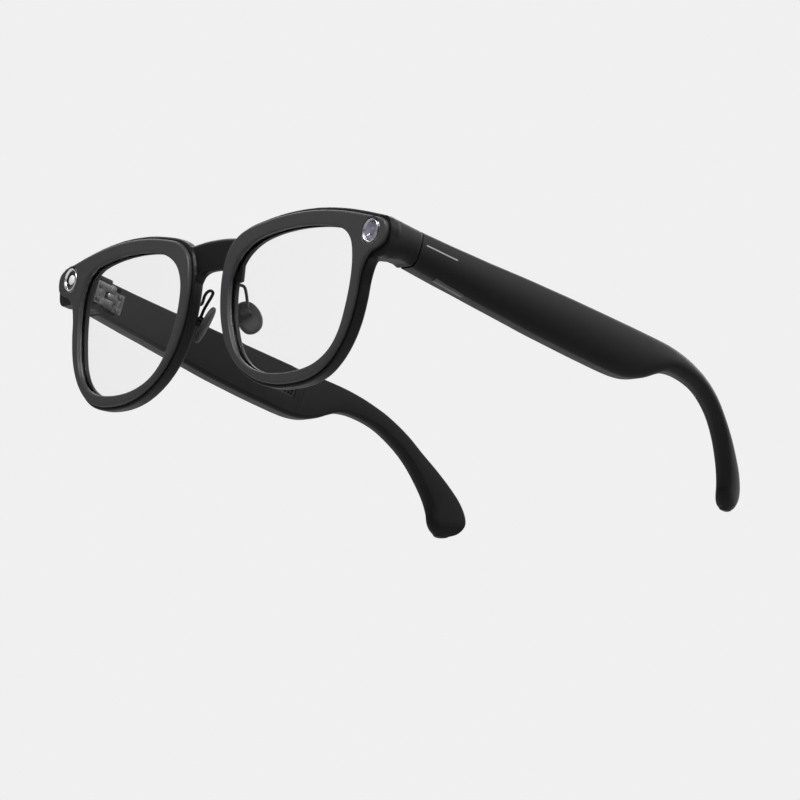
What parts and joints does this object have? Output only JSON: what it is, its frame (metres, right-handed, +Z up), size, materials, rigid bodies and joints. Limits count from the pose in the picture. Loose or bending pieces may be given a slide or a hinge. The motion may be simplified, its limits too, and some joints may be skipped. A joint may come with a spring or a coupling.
{
  "type": "smart glasses",
  "caption": "Black smart glasses with a round camera and indicator light in the end pieces, clear lenses, folding electronics temples and wire-mounted nose pads.",
  "frame": {"origin": "middle of the bounding box, on the table plane under the open glasses", "axes": "+X towards the wearer's left, +Y from the front towards the temple tips, +Z up; the front faces -Y"},
  "size_m": [0.153, 0.1392, 0.0467],
  "materials": {
    "frame_black": "fine matte",
    "plate_satin": "satin",
    "clear_lens": "clear",
    "dark_metal": "satin",
    "bright_metal": "bright",
    "camera_glass": "dark coated glass",
    "light_diffuser": "frosted",
    "inner_plastic": "moulded",
    "circuit_green": "solder mask",
    "pad_rubber": "soft matte",
    "hinge_metal": "fine brushed",
    "battery_foil": "foil",
    "contact_gold": "plated",
    "button_plastic": "satin"
  },
  "bodies": {
    "front": {"main_frame": "frame_black", "left_face_plate": "plate_satin", "right_face_plate": "plate_satin", "left_lens": "clear_lens", "right_lens": "clear_lens", "camera_ring": "dark_metal", "camera_glass": "camera_glass", "camera_barrel": "inner_plastic", "camera_board": "circuit_green", "light_ring": "bright_metal", "light_lens": "light_diffuser", "light_board": "circuit_green", "left_pad_arm": "dark_metal", "right_pad_arm": "dark_metal", "left_pad_pin": "hinge_metal", "right_pad_pin": "hinge_metal", "left_front_leaf": "hinge_metal", "right_front_leaf": "hinge_metal", "left_leaf_screws": "hinge_metal", "right_leaf_screws": "hinge_metal", "left_hinge_pin": "hinge_metal", "right_hinge_pin": "hinge_metal"},
    "left_temple": {"left_temple_shell": "frame_black", "left_temple_cover": "frame_black", "left_temple_leaf": "hinge_metal", "left_temple_screws": "hinge_metal", "left_battery": "battery_foil", "left_board": "circuit_green", "left_microphone": "hinge_metal", "left_speaker": "inner_plastic", "left_speaker_grille": "dark_metal", "light_line": "bright_metal", "touch_sensor": "contact_gold", "button_switch": "hinge_metal", "charging_contacts": "contact_gold", "charging_magnets": "hinge_metal"},
    "right_temple": {"right_temple_shell": "frame_black", "right_temple_cover": "frame_black", "right_temple_leaf": "hinge_metal", "right_temple_screws": "hinge_metal", "right_battery": "battery_foil", "right_board": "circuit_green", "right_microphone": "hinge_metal", "right_speaker": "inner_plastic", "right_speaker_grille": "dark_metal"},
    "button": {"function_button": "button_plastic"},
    "left_pad": {"left_pad_core": "hinge_metal", "left_nose_pad": "pad_rubber"},
    "right_pad": {"right_pad_core": "hinge_metal", "right_nose_pad": "pad_rubber"}
  },
  "joints": [
    {"name": "left_temple_fold", "type": "hinge", "parent": "front", "child": "left_temple", "pos_m": [0.0664, -0.05427, 0.03607], "axis": [0, 0.1098, 0.9939], "range_deg": [0, 86]},
    {"name": "right_temple_fold", "type": "hinge", "parent": "front", "child": "right_temple", "pos_m": [-0.0664, -0.05427, 0.03607], "axis": [0, -0.1098, -0.9939], "range_deg": [0, 64]},
    {"name": "button_press", "type": "slide", "parent": "left_temple", "child": "button", "axis": [0, 0.1098, 0.9939], "range_m": [0, 0.0005], "stiffness_N_per_m": 400, "springref_m": -0.0005},
    {"name": "left_pad_rock", "type": "hinge", "parent": "front", "child": "left_pad", "pos_m": [0.01108, -0.06063, 0.02285], "axis": [0.5585, 0.6342, 0.5346], "range_deg": [-4, 4]},
    {"name": "right_pad_rock", "type": "hinge", "parent": "front", "child": "right_pad", "pos_m": [-0.01108, -0.06063, 0.02285], "axis": [-0.5585, 0.6342, 0.5346], "range_deg": [-4, 4]}
  ]
}
